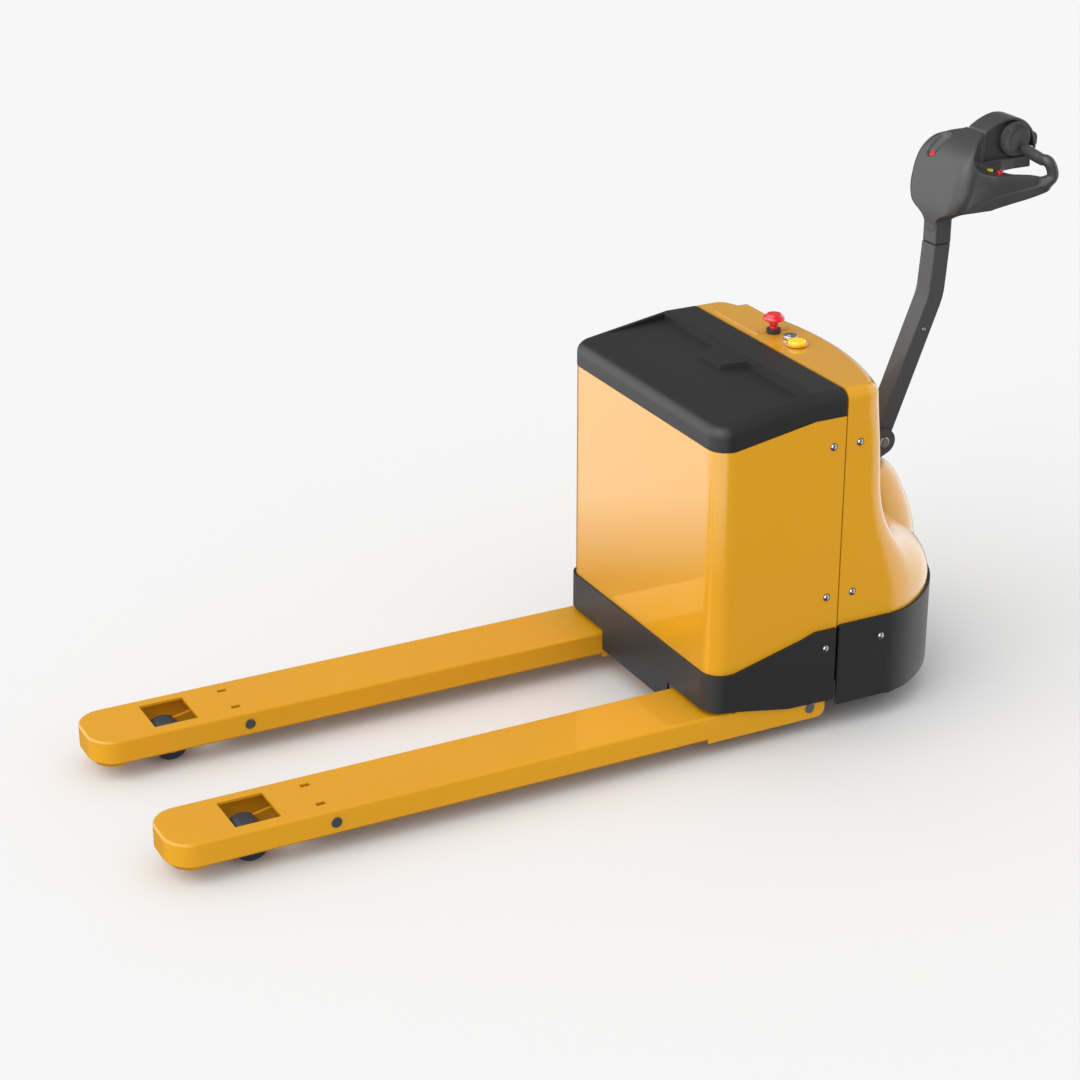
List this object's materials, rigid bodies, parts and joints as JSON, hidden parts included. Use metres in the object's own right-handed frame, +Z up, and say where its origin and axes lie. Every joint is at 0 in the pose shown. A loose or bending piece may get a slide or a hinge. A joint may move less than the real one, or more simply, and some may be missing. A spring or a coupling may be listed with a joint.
{
  "type": "electric pallet truck",
  "caption": "Walk-behind powered pallet truck: forks and battery housing that lift together on a drive unit steered by an upright tiller with control head.",
  "frame": {"origin": "on the floor under the middle of the overall length, midway between the forks", "axes": "+X towards the fork tips, +Z up, +Y to the left of somebody behind the tiller facing the forks"},
  "size_m": [2.332, 0.706, 1.311],
  "materials": {
    "body_paint": "gloss yellow-orange paint on covers",
    "fork_paint": "semi-gloss yellow-orange paint on welded steel",
    "skirt": "black textured moulding",
    "lid_plastic": "black grained moulding",
    "tiller_black": "black satin",
    "arm_paint": "dark grey powder coat",
    "frame_black": "black frame paint",
    "steel": "machined steel",
    "zinc": "zinc plated",
    "roller": "dark polyurethane",
    "tyre": "rubber",
    "caster_tread": "rubber",
    "cast": "cast housing",
    "motor": "finned aluminium",
    "battery_case": "moulded case",
    "red_plastic": "gloss red",
    "yellow_plastic": "gloss yellow",
    "lens": "amber lens",
    "plate": "painted plate",
    "oil_plastic": "translucent white tank"
  },
  "bodies": {
    "drive_unit": {"drive_chassis": "frame_black", "rear_cover": "body_paint", "motor_hood": "body_paint", "rear_skirt": "skirt", "control_plate": "plate", "chassis_screws": "steel", "estop_collar": "frame_black", "lamp_bezel": "plate", "lamp_lens": "lens", "key_barrel": "steel", "pump_motor": "cast", "oil_tank": "oil_plastic", "lift_cylinder": "cast", "motor_controller": "motor", "line_contactor": "frame_black", "slewing_ring": "steel"},
    "lift_frame": {"left_fork": "fork_paint", "right_fork": "fork_paint", "linkage_pins": "zinc", "heel_frame": "fork_paint", "battery_tray": "frame_black", "battery_pack": "battery_case", "battery_plug": "battery_case", "front_cover": "body_paint", "front_skirt": "skirt", "front_screws": "steel", "lid_hinge": "steel", "lift_rod": "steel"},
    "lid": {"battery_lid": "lid_plastic"},
    "torsion_shaft": {"torsion_shaft": "frame_black"},
    "pull_rods": {"pull_rods": "zinc"},
    "load_arms": {"left_load_arm": "fork_paint", "right_load_arm": "fork_paint", "roller_axles": "steel"},
    "left_roller": {"left_load_roller": "roller"},
    "right_roller": {"right_load_roller": "roller"},
    "steering": {"gearbox": "cast", "drive_motor": "motor", "parking_brake": "frame_black", "tiller_base": "arm_paint", "tiller_pin": "steel"},
    "drive_wheel": {"drive_wheel": "cast", "drive_tyre": "tyre"},
    "tiller": {"tiller_arm": "arm_paint", "tiller_head": "tiller_black", "head_hood": "tiller_black", "grip_bars": "tiller_black", "tiller_screws": "steel"},
    "throttle": {"throttle": "tiller_black"},
    "belly_button": {"belly_button": "tiller_black"},
    "lift_button": {"lift_button": "yellow_plastic"},
    "lower_button": {"lower_button": "yellow_plastic"},
    "left_horn": {"left_horn_button": "red_plastic"},
    "right_horn": {"right_horn_button": "red_plastic"},
    "estop": {"estop_button": "red_plastic"},
    "key": {"key_rotor": "steel"},
    "left_caster": {"left_caster_fork": "frame_black"},
    "right_caster": {"right_caster_fork": "frame_black"},
    "left_caster_wheel": {"left_caster_wheel": "caster_tread"},
    "right_caster_wheel": {"right_caster_wheel": "caster_tread"}
  },
  "joints": [
    {"name": "fork_lift", "type": "slide", "parent": "drive_unit", "child": "lift_frame", "axis": [0, 0, 1], "range_m": [0, 0.1]},
    {"name": "lid_hinge", "type": "hinge", "parent": "lift_frame", "child": "lid", "pos_m": [-0.438, 0, 0.83], "axis": [0, -1, 0], "range_deg": [0, 80]},
    {"name": "torsion_shaft_turn", "type": "hinge", "parent": "lift_frame", "child": "torsion_shaft", "pos_m": [-0.387, 0, 0.066], "axis": [0, -1, 0], "range_deg": [0, 36.45]},
    {"name": "pull_rod_slide", "type": "slide", "parent": "lift_frame", "child": "pull_rods", "axis": [-1, 0, 0], "range_m": [0, 0.01726]},
    {"name": "load_arm_swing", "type": "hinge", "parent": "lift_frame", "child": "load_arms", "pos_m": [0.8, 0, 0.075], "axis": [0, 1, 0], "range_deg": [0, 38.78]},
    {"name": "left_roller_spin", "type": "hinge", "parent": "load_arms", "child": "left_roller", "pos_m": [0.97167, 0.2515, 0.041], "axis": [0, 1, 0], "continuous": true},
    {"name": "right_roller_spin", "type": "hinge", "parent": "load_arms", "child": "right_roller", "pos_m": [0.97167, -0.2515, 0.041], "axis": [0, 1, 0], "continuous": true},
    {"name": "steer", "type": "hinge", "parent": "drive_unit", "child": "steering", "pos_m": [-0.701, 0, 0.3], "axis": [0, 0, 1], "range_deg": [-90, 90]},
    {"name": "drive_wheel_spin", "type": "hinge", "parent": "steering", "child": "drive_wheel", "pos_m": [-0.701, 0, 0.125], "axis": [0, 1, 0], "continuous": true},
    {"name": "tiller_tilt", "type": "hinge", "parent": "steering", "child": "tiller", "pos_m": [-0.766, 0, 0.555], "axis": [0, -1, 0], "range_deg": [0, 70], "stiffness_Nm_per_rad": 45, "springref_deg": -45.84},
    {"name": "throttle_turn", "type": "hinge", "parent": "tiller", "child": "throttle", "pos_m": [-1.096, 0, 1.257], "axis": [0, 1, 0], "range_deg": [-20, 20], "stiffness_Nm_per_rad": 2},
    {"name": "belly_press", "type": "slide", "parent": "tiller", "child": "belly_button", "axis": [1, 0, 0], "range_m": [0, 0.006], "stiffness_N_per_m": 1500, "springref_m": -0.004},
    {"name": "lift_press", "type": "slide", "parent": "tiller", "child": "lift_button", "axis": [0, 0, -1], "range_m": [0, 0.003], "stiffness_N_per_m": 900, "springref_m": -0.002},
    {"name": "lower_press", "type": "slide", "parent": "tiller", "child": "lower_button", "axis": [0, 0, -1], "range_m": [0, 0.003], "stiffness_N_per_m": 900, "springref_m": -0.002},
    {"name": "left_horn_press", "type": "slide", "parent": "tiller", "child": "left_horn", "axis": [0, 0, -1], "range_m": [0, 0.003], "stiffness_N_per_m": 900, "springref_m": -0.002},
    {"name": "right_horn_press", "type": "slide", "parent": "tiller", "child": "right_horn", "axis": [0, 0, -1], "range_m": [0, 0.003], "stiffness_N_per_m": 900, "springref_m": -0.002},
    {"name": "estop_press", "type": "slide", "parent": "drive_unit", "child": "estop", "axis": [0, 0, -1], "range_m": [0, 0.006]},
    {"name": "key_turn", "type": "hinge", "parent": "drive_unit", "child": "key", "pos_m": [-0.522, -0.014, 0.845], "axis": [0, 0, -1], "range_deg": [0, 90]},
    {"name": "left_caster_swivel", "type": "hinge", "parent": "drive_unit", "child": "left_caster", "pos_m": [-0.645, 0.235, 0.15], "axis": [0, 0, 1], "continuous": true},
    {"name": "right_caster_swivel", "type": "hinge", "parent": "drive_unit", "child": "right_caster", "pos_m": [-0.645, -0.235, 0.15], "axis": [0, 0, 1], "continuous": true},
    {"name": "left_caster_spin", "type": "hinge", "parent": "left_caster", "child": "left_caster_wheel", "pos_m": [-0.67, 0.235, 0.05], "axis": [0, 1, 0], "continuous": true},
    {"name": "right_caster_spin", "type": "hinge", "parent": "right_caster", "child": "right_caster_wheel", "pos_m": [-0.67, -0.235, 0.05], "axis": [0, 1, 0], "continuous": true}
  ],
  "couplings": [
    {"joint": "torsion_shaft_turn", "follows": "fork_lift", "rad_per_m": 6.36},
    {"joint": "pull_rod_slide", "follows": "fork_lift", "ratio": 0.17258},
    {"joint": "load_arm_swing", "follows": "fork_lift", "rad_per_m": 6.7662}
  ]
}
